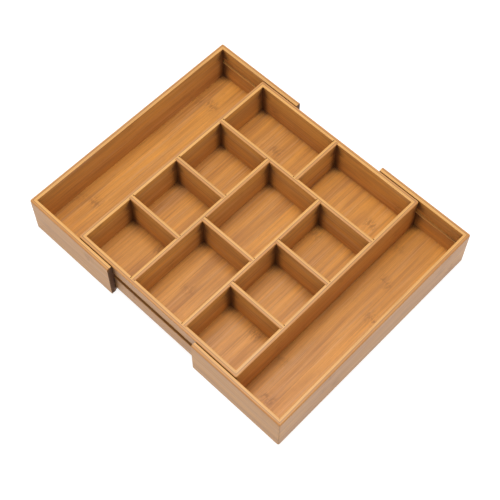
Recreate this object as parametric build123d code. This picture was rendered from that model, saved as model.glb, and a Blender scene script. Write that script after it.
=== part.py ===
"""Expandable bamboo drawer organizer: a fixed centre tray with ten cells and two side trays that slide out.

Millimetres. +X runs along the slide direction, +Y towards the back of the drawer, +Z up.
The origin is the middle of the footprint at rest, on the drawer's floor.
"""
import os

from build123d import *

# ---- driving dimensions ----
HEIGHT = 68.0  # top edge of every wall above the drawer floor
DEPTH = 368.0  # outer depth of the side trays
CENTER_WIDTH = 288.0  # outer width of the centre tray
BOARD = 7.5  # thickness of every wall and divider
SLIDE_GAP = 1.0  # between the centre tray and a side tray
LEFT_OPEN = 79.5  # how far the left tray stands out at rest
RIGHT_OPEN = 73.0  # how far the right tray stands out at rest

# side tray floors
FLOOR_BOTTOM = 2.5
FLOOR_TOP = 7.5
HOUSING = 2.5  # depth of the groove that holds a floor, and of the dadoes that hold the dividers

# centre tray floor, let into a rabbet
CENTER_BOTTOM = 8.0
CENTER_FLOOR_TOP = 13.5
RABBET = 3.0

# dividers
DADO_SLACK = 0.4  # a dado is this much wider than its divider
COLUMNS = 3
ROWS = 4

# slide: a tongue glued in each side tray's groove runs in the centre tray's groove
GROOVE_LOW = 36.5
GROOVE_HIGH = 49.5
GROOVE_DEPTH = 3.0
TONGUE_LENGTH = 58.0
TONGUE_PLAY = 0.3  # above and below the tongue, and a little more at its tip
TIP_PLAY = 0.4

# eased edges
OUTER_EASE = 2.2
INNER_EASE = 1.0
DIVIDER_EASE = 1.4
CORNER_EASE = 2.6

# ---- worked out from these ----
TRAY_IN_Y = DEPTH / 2 - BOARD
CENTER_HALF_Y = TRAY_IN_Y - SLIDE_GAP
CENTER_HALF_X = CENTER_WIDTH / 2
CELL_HALF_X = CENTER_HALF_X - BOARD
CELL_HALF_Y = CENTER_HALF_Y - BOARD
CLOSED_HALF_X = CENTER_HALF_X + SLIDE_GAP + BOARD
TRAY_LENGTH = CLOSED_HALF_X - SLIDE_GAP / 2  # two closed trays stay one slide gap apart in the middle
CENTER_X = (LEFT_OPEN - RIGHT_OPEN) / 2  # puts the origin in the middle of the footprint
COLUMN_WIDTH = (2 * CELL_HALF_X - (COLUMNS - 1) * BOARD) / COLUMNS
ROW_DEPTH = (2 * CELL_HALF_Y - (ROWS - 1) * BOARD) / ROWS
COLUMN_PITCH = COLUMN_WIDTH + BOARD
ROW_PITCH = ROW_DEPTH + BOARD
BACK_ROW_Y = CELL_HALF_Y - ROW_DEPTH - BOARD / 2  # middle of the divider in front of the back row
FRONT_HALF_Y = (BACK_ROW_Y - BOARD / 2 - CELL_HALF_Y) / 2  # middle of the three-column area


def block(x0, x1, y0, y1, z0, z1):
    """A box between two corners."""
    return Pos(x0, y0, z0) * Box(x1 - x0, y1 - y0, z1 - z0, align=(Align.MIN, Align.MIN, Align.MIN))


def prism(points, z0, z1):
    """An outline in plan, raised from z0 to z1."""
    return extrude(Plane.XY.offset(z0) * make_face(Polyline(*points, close=True)), amount=z1 - z0)


def top_edges(shape, wanted):
    """The edges of the top face whose middle passes the test."""
    return [e for e in shape.edges().group_by(Axis.Z)[-1] if wanted(e.center())]


def both_ends(cut):
    """A front feature together with its mirror image at the back."""
    return cut + mirror(cut, about=Plane.XZ)


# ---- centre tray ----
def center_frame():
    """The four mitred walls in one ring, before they are parted at the mitres."""
    ring = block(-CENTER_HALF_X, CENTER_HALF_X, -CENTER_HALF_Y, CENTER_HALF_Y, CENTER_BOTTOM, HEIGHT)
    ring -= block(-CELL_HALF_X, CELL_HALF_X, -CELL_HALF_Y, CELL_HALF_Y, CENTER_BOTTOM, HEIGHT)
    corners = [e for e in ring.edges().filter_by(Axis.Z) if abs(e.center().X) > CELL_HALF_X + 1]
    ring = fillet(corners, CORNER_EASE)

    def on_outside(c):
        return abs(c.X) > CELL_HALF_X + 1 or abs(c.Y) > CELL_HALF_Y + 1

    ring = fillet(top_edges(ring, on_outside), DIVIDER_EASE)
    ring = fillet(top_edges(ring, lambda c: not on_outside(c)), INNER_EASE)
    rabbet_x, rabbet_y = CELL_HALF_X + RABBET, CELL_HALF_Y + RABBET
    ring -= block(-rabbet_x, rabbet_x, -rabbet_y, rabbet_y, CENTER_BOTTOM, CENTER_FLOOR_TOP)
    groove = block(
        -CENTER_HALF_X,
        CENTER_HALF_X,
        -CENTER_HALF_Y,
        -CENTER_HALF_Y + GROOVE_DEPTH,
        GROOVE_LOW - TONGUE_PLAY,
        GROOVE_HIGH + TONGUE_PLAY,
    )
    return ring - both_ends(groove)


def x_dado(x, side, y):
    """A dado in a face at x that looks towards -side, for a divider along X centred on y."""
    lo, hi = sorted((x, x + side * HOUSING))
    return block(lo, hi, y - BOARD / 2, y + BOARD / 2 + DADO_SLACK, CENTER_FLOOR_TOP, HEIGHT)


def y_dado(y, side, x):
    """A dado in a face at y that looks towards -side, for a divider along Y centred on x."""
    lo, hi = sorted((y, y + side * HOUSING))
    return block(x - BOARD / 2 - DADO_SLACK, x + BOARD / 2, lo, hi, CENTER_FLOOR_TOP, HEIGHT)


def x_divider(x0, x1, y):
    """A divider along X between two faces, with both ends let into dadoes."""
    board = block(x0 - HOUSING, x1 + HOUSING, y - BOARD / 2, y + BOARD / 2, CENTER_FLOOR_TOP, HEIGHT)
    return fillet(top_edges(board, lambda c: abs(c.Y - y) > 1), DIVIDER_EASE)


def y_divider(y0, y1, x):
    """A divider along Y between two faces, with both ends let into dadoes."""
    board = block(x - BOARD / 2, x + BOARD / 2, y0 - HOUSING, y1 + HOUSING, CENTER_FLOOR_TOP, HEIGHT)
    return fillet(top_edges(board, lambda c: abs(c.X - x) > 1), DIVIDER_EASE)


def center_tray():
    """The fixed middle: four walls, a floor and nine dividers. Its nodes by name."""
    left, right = -CELL_HALF_X, CELL_HALF_X
    front, back = -CELL_HALF_Y, CELL_HALF_Y
    column_x = COLUMN_PITCH / 2  # middles of the two long column dividers are at -column_x and +column_x
    back_row_front = BACK_ROW_Y - BOARD / 2
    back_row_back = BACK_ROW_Y + BOARD / 2
    row_y = (BACK_ROW_Y - 2 * ROW_PITCH, BACK_ROW_Y - ROW_PITCH)  # middles of the short row dividers

    frame = center_frame()
    frame -= x_dado(left, -1, BACK_ROW_Y) + x_dado(right, 1, BACK_ROW_Y)
    frame -= y_dado(front, -1, -column_x) + y_dado(front, -1, column_x) + y_dado(back, 1, 0)
    for y in row_y:
        frame -= x_dado(left, -1, y) + x_dado(right, 1, y)

    outer = [(-CENTER_HALF_X, -CENTER_HALF_Y), (CENTER_HALF_X, -CENTER_HALF_Y)]
    inner = [(right, front), (left, front)]
    end_wedge = prism(outer + inner, CENTER_BOTTOM, HEIGHT)
    side_outer = [(-CENTER_HALF_X, -CENTER_HALF_Y), (-CENTER_HALF_X, CENTER_HALF_Y)]
    side_wedge = prism(side_outer + [(left, back), (left, front)], CENTER_BOTTOM, HEIGHT)

    back_row = x_divider(left, right, BACK_ROW_Y) - y_dado(back_row_back, -1, 0)
    back_row -= y_dado(back_row_front, 1, -column_x) + y_dado(back_row_front, 1, column_x)
    columns = {}
    for side, name in ((-1, "left"), (1, "right")):
        divider = y_divider(front, back_row_front, side * column_x)
        outer_face = side * (column_x + BOARD / 2)
        inner_face = side * (column_x - BOARD / 2)
        for y in row_y:
            divider -= x_dado(outer_face, -side, y)
        columns[name] = divider - x_dado(inner_face, side, FRONT_HALF_Y)

    nodes = {
        "center_front_wall": frame & end_wedge,
        "center_back_wall": frame & mirror(end_wedge, about=Plane.XZ),
        "center_left_wall": frame & side_wedge,
        "center_right_wall": frame & mirror(side_wedge, about=Plane.YZ),
        "center_floor": block(
            left - RABBET, right + RABBET, front - RABBET, back + RABBET, CENTER_BOTTOM, CENTER_FLOOR_TOP
        ),
        "back_row_divider": back_row,
        "back_row_cross_divider": y_divider(back_row_back, back, 0),
        "left_column_divider": columns["left"],
        "right_column_divider": columns["right"],
        "middle_cross_divider": x_divider(-column_x + BOARD / 2, column_x - BOARD / 2, FRONT_HALF_Y),
    }
    for place, y in zip(("front", "rear"), row_y):
        nodes[f"left_{place}_cross_divider"] = x_divider(left, -column_x - BOARD / 2, y)
        nodes[f"right_{place}_cross_divider"] = x_divider(column_x + BOARD / 2, right, y)
    return {name: Pos(CENTER_X, 0, 0) * shape for name, shape in nodes.items()}


# ---- side trays ----
def side_tray(opened):
    """The right-hand tray standing out by opened, about the centre tray's middle. Its nodes by short name."""
    x_out = CLOSED_HALF_X + opened
    x_wall = x_out - BOARD
    x_in = x_out - TRAY_LENGTH
    half = DEPTH / 2

    frame = block(x_in, x_out, -half, half, 0, HEIGHT) - block(x_in, x_wall, -TRAY_IN_Y, TRAY_IN_Y, 0, HEIGHT)
    frame = fillet([e for e in frame.edges().filter_by(Axis.Z) if e.center().X > x_out - 1], CORNER_EASE)
    frame = fillet(top_edges(frame, lambda c: c.X > x_wall + 1 or abs(c.Y) > TRAY_IN_Y + BOARD - 0.6), OUTER_EASE)

    def inside(c):
        return x_in + 1 < c.X < x_wall + 0.1 and abs(c.Y) < TRAY_IN_Y + 0.1

    frame = fillet(top_edges(frame, inside), INNER_EASE)
    housing_y = TRAY_IN_Y + HOUSING
    frame -= block(x_in, x_wall + HOUSING, -housing_y, housing_y, FLOOR_BOTTOM, FLOOR_TOP)

    end_wedge = prism([(x_in, -half), (x_out, -half), (x_wall, -TRAY_IN_Y), (x_in, -TRAY_IN_Y)], 0, HEIGHT)
    outer_wedge = prism([(x_out, -half), (x_out, half), (x_wall, TRAY_IN_Y), (x_wall, -TRAY_IN_Y)], 0, HEIGHT)
    groove = block(x_in, x_out, -TRAY_IN_Y - GROOVE_DEPTH, -TRAY_IN_Y, GROOVE_LOW, GROOVE_HIGH)
    front_wall = (frame & end_wedge) - groove

    tongue = block(
        x_in,
        x_in + TONGUE_LENGTH,
        -TRAY_IN_Y - GROOVE_DEPTH,
        -CENTER_HALF_Y + GROOVE_DEPTH - TIP_PLAY,
        GROOVE_LOW,
        GROOVE_HIGH,
    )
    tip = [e for e in tongue.edges().filter_by(Axis.X) if e.center().Y > -TRAY_IN_Y]
    tongue = fillet(tip, INNER_EASE)

    return {
        "outer_wall": frame & outer_wedge,
        "front_wall": front_wall,
        "back_wall": mirror(front_wall, about=Plane.XZ),
        "floor": block(x_in, x_wall + HOUSING, -housing_y, housing_y, FLOOR_BOTTOM, FLOOR_TOP),
        "front_tongue": tongue,
        "back_tongue": mirror(tongue, about=Plane.XZ),
    }


def organizer():
    """Every node of the organizer by name, in the part's own frame."""
    nodes = center_tray()
    for part, shape in side_tray(RIGHT_OPEN).items():
        nodes[f"right_tray_{part}"] = Pos(CENTER_X, 0, 0) * shape
    for part, shape in side_tray(LEFT_OPEN).items():
        nodes[f"left_tray_{part}"] = Pos(CENTER_X, 0, 0) * mirror(shape, about=Plane.YZ)
    return nodes


os.makedirs("parts", exist_ok=True)
for node_name, node_shape in organizer().items():
    export_step(node_shape, f"parts/{node_name}.step")
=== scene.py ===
"""Looks of the expandable bamboo drawer organizer: bamboo boards, a pale floor, soft light and the camera.

Metres, in the frame's own axes: +X along the slides, +Y towards the back, +Z up. Materials work in
millimetres.
"""
import math

import bpy
from mathutils import Matrix, Vector


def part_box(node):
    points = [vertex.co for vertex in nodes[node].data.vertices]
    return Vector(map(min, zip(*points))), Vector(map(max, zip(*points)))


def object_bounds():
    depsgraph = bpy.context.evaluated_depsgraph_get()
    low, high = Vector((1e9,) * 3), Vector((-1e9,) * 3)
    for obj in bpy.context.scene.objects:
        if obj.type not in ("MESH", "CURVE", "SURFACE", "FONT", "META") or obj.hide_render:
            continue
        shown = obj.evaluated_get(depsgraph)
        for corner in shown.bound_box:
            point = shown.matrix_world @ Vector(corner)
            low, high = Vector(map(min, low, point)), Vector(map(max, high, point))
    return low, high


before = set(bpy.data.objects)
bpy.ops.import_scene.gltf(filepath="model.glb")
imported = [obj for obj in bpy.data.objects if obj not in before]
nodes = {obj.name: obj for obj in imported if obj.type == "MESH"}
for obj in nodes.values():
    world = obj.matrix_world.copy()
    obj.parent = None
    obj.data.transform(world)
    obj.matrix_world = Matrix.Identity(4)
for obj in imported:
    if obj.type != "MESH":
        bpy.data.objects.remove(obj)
cad_box = [list(corner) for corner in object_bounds()]

X, Y, Z = 0, 1, 2
MM = 1000.0  # millimetres in a metre

# ---- camera: where it stands, seen from its target; degrees, metres, and millimetres in the lens ----
CAMERA_AZIMUTH = 43.28
CAMERA_ELEVATION = 61.34
CAMERA_ROLL = 0.62
CAMERA_DISTANCE = 1.567
CAMERA_TARGET = Vector((0.0100, -0.0073, 0.0))
CAMERA_LENS = 82.3
CAMERA_SENSOR = 36.0

# ---- studio ----
WHITE = (1.0, 1.0, 1.0, 1.0)
AROUND_STRENGTH = 0.63  # of the light from all round
OVERHEAD_POWER = 14.0  # watts
SHEEN_POWER = 5.5
SHEET_HALF = 6.0  # half the side of the square sheet that the object stands on
SHEET_DARK = (0.38, 0.38, 0.38)
SHEET_PALE = (0.40, 0.40, 0.40)
SHEET_GLOW = 0.20  # light that the sheet gives off in every direction
SHEET_WHITE = 0.65  # added where it is seen, so that it stays white in the object's shadow

# ---- bamboo, as linear colour ----
PALE_FIBRE = (0.84, 0.400, 0.076)
DEEP_FIBRE = (0.42, 0.178, 0.050)
SHEEN_GREY = (0.62, 0.37, 0.19)  # greyish patches of painted sheen
KNUCKLE = (0.24, 0.095, 0.026)
GLUE_LINE = (0.16, 0.06, 0.014)
END_GRAIN = (0.12, 0.046, 0.014)
DARK_PLY = (0.50, 0.150, 0.024)  # the outer ply on the outside of a wall
OUTER_PLY = (0.54, 0.205, 0.045)  # the same ply on a sanded top edge
SANDED = (0.80, 0.37, 0.085)
GROOVE_FACE = (0.60, 0.26, 0.055)  # bottom of a slide groove
GROOVE_LEDGE_SHADE = (0.26, 0.105, 0.026)  # painted shade on the lower side of a slide groove, under its lip
CORNER_SHADE = (0.10, 0.035, 0.010)  # painted shade in the corners
FLOOR_TINT = (1.00, 0.955, 0.85)
BOARD_TINT = (1.01, 1.09, 1.22)

# ---- grain: length along the fibres and width of each kind of feature, millimetres ----
CLOUD = (110.0, 13.0)
SHEEN_PATCH = (130.0, 8.0)
STREAK = (150.0, 3.4)
THREAD = (90.0, 1.3)
FIBRE = (38.0, 0.5)
DASH = (10.0, 0.5)
PORE = (1.0, 0.9)
BARE_PATCH = (45.0, 1.1)
STAIN_PATCH = (60.0, 1.5)
KNUCKLE_BEND = (70.0, 14.0)
KNUCKLE_BLOTCH = (7.0, 3.0)

# ---- how much each kind of feature adds to the pale share of the colour ----
TONE_SHARE = 0.24
CLOUD_SHARE = 0.30
STREAK_SHARE = 0.24
THREAD_SHARE = 0.20
FIBRE_SHARE = 0.12

# ---- boards, millimetres ----
STRIP_WIDTH = 22.0  # a bamboo strip in a board's face
KNUCKLE_PITCH = 230.0  # along a strip from one knuckle to the next
KNUCKLE_SWING = 7.0  # how far a knuckle's line bends
KNUCKLE_SMUDGE = 14.0  # how far its smudge reaches
GROOVE_DEPTH = 3.0
MITRE_REACH = 0.76  # how far the sharp corner would stand past a rounded mitre
SEED_SHIFTS = (731.0, 97.0, 41.0)  # from one board's grain to the next one's: along, across and through
STRIP_SEED = 13.0  # the same step in the strips' own random numbers
PLY_SHARE = 0.46  # of a wall's thickness, from its outer face to the glue line between its two plies

# ---- painted shade in the corners ----
CORNER_REACH = 0.021  # how far from a corner it still shows, metres
CORNER_LEAN = (-0.4, 0.4, 0.9)  # the painted shade lies in the upright corners, and most in the back left ones, away from the light
UPRIGHT_LEVEL = 0.83  # how open an upright face may be and still get painted shade, of all that it could see
FLOOR_LEVEL = 0.44  # the same for a floor
SHADE_FADE = 0.20  # from there to where the painted shade is darkest
SHADE_MOST = 0.96

# ---- varnish: roughness between the streaks and on them ----
BOARD_ROUGHNESS = (0.54, 0.44)
FLOOR_ROUGHNESS = (0.44, 0.34)
BOARD_SPECULAR = 0.5
FLOOR_SPECULAR = 0.34
COAT = 0.25
COAT_ROUGHNESS = 0.35
VARNISH_IOR = 1.5
RELIEF_STRENGTH = 0.35
RELIEF_HEIGHT = 0.00025  # metres


class Graph:
    """The node tree of one material, with short calls for the nodes that it needs."""

    def __init__(self, name):
        self.material = bpy.data.materials.new(name)
        self.material.use_nodes = True
        self.tree = self.material.node_tree
        self.tree.nodes.clear()

    def node(self, kind, **settings):
        made = self.tree.nodes.new(kind)
        for key, value in settings.items():
            setattr(made, key, value)
        return made

    def put(self, socket, value):
        """Links an output to the socket, or sets the socket to a plain value."""
        if isinstance(value, bpy.types.NodeSocket):
            self.tree.links.new(value, socket)
        else:
            socket.default_value = value

    def fill(self, made, values):
        """Puts the values into a node's inputs, in their order."""
        for socket, value in zip(made.inputs, values):
            self.put(socket, value)
        return made

    def math(self, operation, *values):
        return self.fill(self.node("ShaderNodeMath", operation=operation), values).outputs[0]

    def product(self, first, *others):
        for value in others:
            first = self.math("MULTIPLY", first, value)
        return first

    def total(self, first, *others):
        for value in others:
            first = self.math("ADD", first, value)
        return first

    def distance(self, first, second):
        return self.math("ABSOLUTE", self.math("SUBTRACT", first, second))

    def vector_math(self, operation, *values):
        """The vector or the number that comes out, with the operation's other output left out."""
        made = self.fill(self.node("ShaderNodeVectorMath", operation=operation), values)
        return made.outputs["Value" if operation == "DOT_PRODUCT" else "Vector"]

    def split(self, vector):
        """The three parts of a vector."""
        return self.fill(self.node("ShaderNodeSeparateXYZ"), (vector,)).outputs

    def ramp(self, value, low, high, to_low=0.0, to_high=1.0, smooth=True):
        """Takes low..high to to_low..to_high and holds it outside."""
        made = self.node("ShaderNodeMapRange", interpolation_type="SMOOTHSTEP" if smooth else "LINEAR")
        return self.fill(made, (value, low, high, to_low, to_high)).outputs[0]

    def noise(self, vector, detail=2.0, roughness=0.5):
        made = self.node("ShaderNodeTexNoise")
        for key, value in (("Vector", vector), ("Scale", 1.0), ("Detail", detail), ("Roughness", roughness)):
            self.put(made.inputs[key], value)
        return made.outputs["Fac"]

    def mix(self, share, first, second, blend="MIX"):
        made = self.node("ShaderNodeMix", data_type="RGBA", blend_type=blend, clamp_factor=True)
        self.put(made.inputs["Factor"], share)
        for socket, value in ((made.inputs["A"], first), (made.inputs["B"], second)):
            self.put(socket, (*value, 1.0) if isinstance(value, tuple) else value)
        return made.outputs["Result"]

    def random(self, value):
        """Three random numbers for each whole value."""
        made = self.node("ShaderNodeTexWhiteNoise", noise_dimensions="1D")
        self.put(made.inputs["W"], value)
        return self.fill(self.node("ShaderNodeSeparateColor"), (made.outputs["Color"],)).outputs

    def surface(self, shader):
        self.put(self.node("ShaderNodeOutputMaterial").inputs["Surface"], shader)


class Board(Graph):
    """Where a point of one board is, which way the surface looks there, and the grain that its layers share.

    along is the axis of the grain and across the axis over which its strips lie side by side. outer is +1 or
    -1 where the board's outer face looks along or against its thickness axis, and 0 where it has no outer
    face. mitred holds the ends of the grain axis, -1 or +1, at which the board is mitred to its neighbour.
    """

    def __init__(self, name, seed, along, across, box, outer, mitred):
        super().__init__(name)
        through = X + Y + Z - along - across
        self.along, self.outer, self.mitred = along, outer, mitred
        self.low, self.high = ([corner[axis] * MM for axis in (X, Y, Z)] for corner in box)
        self.thickness = self.high[through] - self.low[through]
        coordinates = self.node("ShaderNodeTexCoord")
        self.normal = coordinates.outputs["Normal"]
        self.facing = self.split(self.normal)
        self.place = self.split(self.vector_math("MULTIPLY", coordinates.outputs["Object"], (MM, MM, MM)))
        self.grain_place = [
            self.math("ADD", self.place[axis], shift * seed)
            for axis, shift in zip((along, across, through), SEED_SHIFTS)
        ]
        if outer:
            face = self.high[through] if outer > 0 else self.low[through]
            self.depth = self.product(self.math("SUBTRACT", face, self.place[through]), outer)
            self.outward = self.product(self.facing[through], outer)

        self.streaks = self.grain(STREAK, detail=3.0, roughness=0.65)
        self.threads = self.grain(THREAD, roughness=0.6)
        self.fibres = self.grain(FIBRE, roughness=0.6)
        self.end = self.ramp(self.math("ABSOLUTE", self.facing[along]), 0.7, 0.95)

        strips = self.math("DIVIDE", self.grain_place[1], STRIP_WIDTH)
        strip = self.math("FLOOR", strips)
        self.tone, self.phase, self.darkness = self.random(self.math("ADD", strip, STRIP_SEED * seed))
        inside = self.math("FRACT", strips)
        nearest = self.math("MINIMUM", inside, self.math("SUBTRACT", 1.0, inside))
        self.from_joint = self.product(nearest, STRIP_WIDTH)
        self.joint = self.ramp(self.from_joint, 0.05, 0.5, 0.24, 0.0)
        self.knuckle = self.knuckles()

    def grain(self, size, **settings):
        """Noise stretched along the grain, with features of about this length and width in millimetres."""
        length, width = size
        stretched = [
            self.math("DIVIDE", part, reach) for part, reach in zip(self.grain_place, (length, width, width))
        ]
        return self.noise(self.fill(self.node("ShaderNodeCombineXYZ"), stretched).outputs[0], **settings)

    def knuckles(self):
        """A thin dark line over a wide smudge across each strip, bent and broken by the fibres."""
        turns = self.math("ADD", self.math("DIVIDE", self.grain_place[0], KNUCKLE_PITCH), self.phase)
        straight = self.product(self.math("SUBTRACT", self.math("FRACT", turns), 0.5), KNUCKLE_PITCH)
        bend = self.product(self.math("SUBTRACT", self.grain(KNUCKLE_BEND), 0.5), KNUCKLE_SWING)
        off = self.math("ABSOLUTE", self.total(straight, bend))
        line = self.ramp(off, 0.2, 1.4, 0.4, 0.0)
        blotches = self.ramp(self.grain(KNUCKLE_BLOTCH), 0.38, 0.64)
        smudge = self.product(self.ramp(off, 0.0, KNUCKLE_SMUDGE, 0.75, 0.0), blotches)
        shown = self.ramp(self.darkness, 0.2, 0.95, 0.1, 1.0, smooth=False)
        faint_at_joint = self.ramp(self.from_joint, 0.0, 5.0, 0.35, 1.0)
        return self.product(self.math("MAXIMUM", line, smudge), shown, faint_at_joint)


def fibre_colour(b):
    """Pale and deep fibres, greyish patches of painted sheen, short dashes, knuckles and the joints between
    strips.
    """
    pale = b.total(
        b.product(b.tone, TONE_SHARE),
        b.ramp(b.grain(CLOUD), 0.34, 0.66, 0.0, CLOUD_SHARE),
        b.ramp(b.streaks, 0.36, 0.64, 0.0, STREAK_SHARE),
        b.ramp(b.threads, 0.34, 0.66, 0.0, THREAD_SHARE),
        b.ramp(b.fibres, 0.3, 0.7, 0.0, FIBRE_SHARE),
    )
    colour = b.mix(pale, DEEP_FIBRE, PALE_FIBRE)
    # greyish patches of painted sheen, scattered at random over the boards
    sheen_patches = b.product(b.ramp(b.grain(SHEEN_PATCH), 0.46, 0.7), b.ramp(b.threads, 0.4, 0.6), 0.45)
    colour = b.mix(sheen_patches, colour, SHEEN_GREY)
    colour = b.mix(b.ramp(b.grain(DASH, detail=1.0), 0.58, 0.70, 0.0, 0.35), colour, DEEP_FIBRE)
    colour = b.mix(b.product(b.knuckle, 0.72), colour, KNUCKLE)
    return b.mix(b.joint, colour, GLUE_LINE)


def outside(b, colour):
    """The darker ply on the outside of a wall."""
    return b.mix(b.ramp(b.outward, 0.3, 0.9, 0.0, 0.30), colour, DARK_PLY)


def grooves(b, colour):
    """The slide grooves, with painted shade on each groove's lower ledge. Also gives the share of the surface
    that lies in one, where no painted corner shade goes.
    """
    outer_bottom = b.product(b.ramp(b.depth, 0.6, 1.6), b.ramp(b.outward, 0.6, 0.9))
    before_face = b.ramp(b.depth, b.thickness - 1.6, b.thickness - 0.6, 1.0, 0.0)
    inner_bottom = b.product(before_face, b.ramp(b.outward, -0.9, -0.6, 1.0, 0.0))
    below_top = b.ramp(b.place[Z], b.high[Z] - 8.0, b.high[Z] - 6.0, 1.0, 0.0)
    step = b.product(b.ramp(b.facing[Z], 0.6, 0.9), below_top)
    beyond_face = b.ramp(b.depth, 0.3, 0.9)
    before_bottom = b.ramp(b.depth, GROOVE_DEPTH + 0.1, GROOVE_DEPTH + 0.4, 1.0, 0.0)
    colour = b.mix(b.product(outer_bottom, 0.7), colour, GROOVE_FACE)
    # painted shade on the groove's lower ledge, which the lip above hides from the light
    colour = b.mix(b.product(step, beyond_face, before_bottom, 0.85), colour, GROOVE_LEDGE_SHADE)
    in_groove = b.math("MAXIMUM", b.math("MAXIMUM", outer_bottom, inner_bottom), step)
    return colour, b.product(in_groove, 0.85)


def mitres(b, colour):
    """A glue line across the board's top and bottom edges at each mitred end."""
    for end_side in b.mitred:
        tip = b.high[b.along] + MITRE_REACH if end_side > 0 else b.low[b.along] - MITRE_REACH
        from_tip = b.product(b.math("SUBTRACT", tip, b.place[b.along]), end_side)
        colour = b.mix(b.ramp(b.distance(from_tip, b.depth), 0.15, 0.75, 0.55, 0.0), colour, GLUE_LINE)
    return colour


def sawn_ends(b, colour):
    """Open pores on the ends."""
    pores = b.ramp(b.grain(PORE, roughness=0.7), 0.38, 0.72, 0.0, 0.6)
    return b.mix(b.product(b.end, 0.92), colour, b.mix(pores, END_GRAIN, DEEP_FIBRE))


def top_edge(b, colour):
    """A sanded top edge, where both plies show, and the glue line between them, which shows on every edge."""
    ply_joint = b.thickness * PLY_SHARE
    top = b.ramp(b.place[Z], b.high[Z] - 2.6, b.high[Z] - 1.4)
    bare = b.ramp(b.grain(BARE_PATCH), 0.3, 0.7, 0.35, 0.95)
    colour = b.mix(b.product(b.ramp(b.facing[Z], 0.1, 0.7), top, bare), colour, SANDED)
    outer_ply = b.ramp(b.depth, ply_joint - 0.3, ply_joint + 0.1, 1.0, 0.0)
    stain = b.ramp(b.grain(STAIN_PATCH), 0.3, 0.7, 0.55, 1.0)
    colour = b.mix(b.product(outer_ply, top, stain), colour, OUTER_PLY)
    return b.mix(b.ramp(b.distance(b.depth, ply_joint), 0.15, 0.6, 0.7, 0.0), colour, GLUE_LINE)


def corner_shade(b, colour, shade_free):
    """Painted shade where boards meet, leaning to the back left corners, but not on undersides or on the
    share kept free of it.
    """
    probe = b.vector_math("NORMALIZE", b.vector_math("ADD", b.normal, CORNER_LEAN))
    corner = b.node("ShaderNodeAmbientOcclusion", samples=8)
    corner.inputs["Distance"].default_value = CORNER_REACH
    b.put(corner.inputs["Normal"], probe)
    could_see = b.product(b.total(b.vector_math("DOT_PRODUCT", probe, b.normal), 1.0), 0.5)
    level = b.product(could_see, b.ramp(b.facing[Z], 0.3, 0.7, UPRIGHT_LEVEL, FLOOR_LEVEL))
    closed = b.math("SUBTRACT", level, corner.outputs["AO"])
    painted_shade = b.product(
        b.ramp(closed, 0.0, SHADE_FADE, 0.0, SHADE_MOST),
        b.ramp(b.facing[Z], -0.6, -0.3),
        b.math("SUBTRACT", 1.0, shade_free),
    )
    return b.mix(painted_shade, colour, CORNER_SHADE)


def varnish(b, colour):
    """The board's shader, with a fine relief of fibres, joints and knuckles under a thin varnish."""
    between, on_streaks = BOARD_ROUGHNESS if b.outer else FLOOR_ROUGHNESS
    rough = b.total(
        b.ramp(b.streaks, 0.3, 0.7, between, on_streaks),
        b.product(b.end, 0.25),
        b.product(b.knuckle, 0.08),
    )
    relief = b.total(
        b.product(b.fibres, 0.5),
        b.product(b.streaks, 0.35),
        b.product(b.joint, -0.6),
        b.product(b.knuckle, -0.3),
    )
    bump = b.node("ShaderNodeBump")
    bump.inputs["Strength"].default_value = RELIEF_STRENGTH
    bump.inputs["Distance"].default_value = RELIEF_HEIGHT
    b.put(bump.inputs["Height"], relief)

    shader = b.node("ShaderNodeBsdfPrincipled")
    b.put(shader.inputs["Base Color"], colour)
    b.put(shader.inputs["Roughness"], rough)
    b.put(shader.inputs["Normal"], bump.outputs[0])
    shader.inputs["IOR"].default_value = VARNISH_IOR
    shader.inputs["Specular IOR Level"].default_value = BOARD_SPECULAR if b.outer else FLOOR_SPECULAR
    b.put(shader.inputs["Coat Weight"], b.ramp(b.end, 0.0, 1.0, COAT, 0.0) if b.outer else 0.0)
    shader.inputs["Coat Roughness"].default_value = COAT_ROUGHNESS
    b.surface(shader.outputs[0])


def bamboo(name, seed, along, across, box, tint, outer, mitred):
    """Laminated bamboo for one board. tint multiplies its colour, and Board tells of the rest."""
    b = Board(name, seed, along, across, box, outer, mitred)
    colour = fibre_colour(b)
    shade_free = 0.0
    if "wall" in name:
        colour = outside(b, colour)
    if outer:
        colour, shade_free = grooves(b, colour)
        colour = mitres(b, colour)
    colour = sawn_ends(b, colour)
    if outer:
        colour = top_edge(b, colour)
    # painted shade in the corners where boards meet
    colour = corner_shade(b, colour, shade_free)
    varnish(b, b.mix(1.0, colour, tint, blend="MULTIPLY"))
    return b.material


def outer_and_mitred(node, along, through, middle):
    """Which way a board's outer face looks, and at which ends the board is mitred."""
    if "divider" in node:
        return (-1.0 if along == X else 1.0), ()
    if "wall" not in node:
        return 0.0, ()
    outer = math.copysign(1.0, middle[through])
    if "tray" in node and "outer" not in node:
        return outer, (math.copysign(1.0, middle[along]),)
    return outer, (-1.0, 1.0)


def dress(node, seed):
    """Gives one CAD node its own board of bamboo."""
    low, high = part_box(node)
    size = high - low
    if node.endswith("floor"):
        along, across, tint, outer, mitred = Y, X, FLOOR_TINT, 0.0, ()
    else:
        along, through = (X, Y) if size[X] > size[Y] else (Y, X)
        across, tint = Z, BOARD_TINT
        outer, mitred = outer_and_mitred(node, along, through, (low + high) / 2)
    board = nodes[node]
    material = bamboo(f"bamboo_{node}", seed, along, across, (low, high), tint, outer, mitred)
    for slot in board.material_slots:
        slot.material = material


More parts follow.
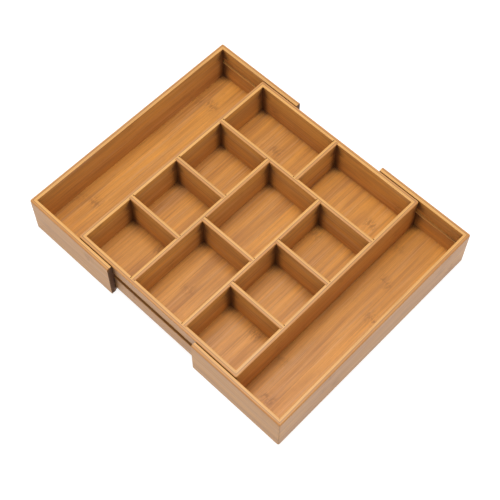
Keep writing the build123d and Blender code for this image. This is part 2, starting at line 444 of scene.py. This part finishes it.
def pale_floor(top):
    """The studio floor, a pale sheet that glows a little, so that only a faint shadow lies on it.

    It hides nothing from below.
    """
    corners = [(x * SHEET_HALF, y * SHEET_HALF, top) for x, y in ((-1, -1), (1, -1), (1, 1), (-1, 1))]
    mesh = bpy.data.meshes.new("studio_floor")
    mesh.from_pydata(corners, [], [(0, 1, 2, 3)])
    floor = bpy.data.objects.new("studio_floor", mesh)
    bpy.context.scene.collection.objects.link(floor)
    g = Graph("studio_floor")
    shader = g.node("ShaderNodeBsdfPrincipled")
    mottle = g.noise(g.node("ShaderNodeTexCoord").outputs["Object"])
    g.put(shader.inputs["Base Color"], g.mix(mottle, SHEET_DARK, SHEET_PALE))
    shader.inputs["Roughness"].default_value = 0.9
    shader.inputs["Specular IOR Level"].default_value = 0.0
    shader.inputs["Emission Color"].default_value = WHITE
    path = g.node("ShaderNodeLightPath").outputs
    seen = g.math("MAXIMUM", path["Is Camera Ray"], path["Is Glossy Ray"])
    g.put(shader.inputs["Emission Strength"], g.total(g.product(seen, SHEET_WHITE), SHEET_GLOW))
    from_below = g.node("ShaderNodeNewGeometry").outputs["Backfacing"]
    clear = g.node("ShaderNodeBsdfTransparent")
    either = g.fill(g.node("ShaderNodeMixShader"), (from_below, shader.outputs[0], clear.outputs[0]))
    g.surface(either.outputs[0])
    mesh.materials.append(g.material)


def softbox(name, place, aim, side, power):
    """A soft square light that faces aim and isn't seen itself."""
    lamp = bpy.data.lights.new(name, "AREA")
    lamp.shape = "SQUARE"
    lamp.size, lamp.energy = side, power
    light = bpy.data.objects.new(name, lamp)
    light.location = place
    light.rotation_euler = (Vector(aim) - Vector(place)).to_track_quat("-Z", "Y").to_euler()
    light.visible_camera = False
    bpy.context.scene.collection.objects.link(light)


def studio():
    """Soft white light from all round, most of it from above."""
    world = bpy.data.worlds.new("studio")
    world.use_nodes = True
    background = world.node_tree.nodes["Background"]
    background.inputs["Color"].default_value = WHITE
    background.inputs["Strength"].default_value = AROUND_STRENGTH
    bpy.context.scene.world = world
    softbox("overhead", place=(-0.3, 0.1, 2.0), aim=(0.0, 0.0, 0.0), side=1.0, power=OVERHEAD_POWER)
    softbox("sheen", place=(-0.1, 0.2, 1.9), aim=(0.1, -0.1, 0.0), side=0.5, power=SHEEN_POWER)


def camera():
    """The camera, turned a little about its own axis."""
    azimuth, elevation = math.radians(CAMERA_AZIMUTH), math.radians(CAMERA_ELEVATION)
    level = math.cos(elevation)
    back = Vector((math.sin(azimuth) * level, -math.cos(azimuth) * level, math.sin(elevation)))
    data = bpy.data.cameras.new("camera")
    data.sensor_width, data.lens = CAMERA_SENSOR, CAMERA_LENS
    view = bpy.data.objects.new("camera", data)
    turn = (-back).to_track_quat("-Z", "Y").to_matrix().to_4x4()
    roll = Matrix.Rotation(math.radians(CAMERA_ROLL), 4, "Z")
    view.matrix_world = Matrix.Translation(CAMERA_TARGET + back * CAMERA_DISTANCE) @ turn @ roll
    bpy.context.scene.collection.objects.link(view)
    bpy.context.scene.camera = view


for number, node_name in enumerate(sorted(nodes), start=1):
    dress(node_name, number)
pale_floor(min(corner[Z] for corner in cad_box))
studio()
camera()
bpy.context.scene.view_settings.view_transform = "Standard"
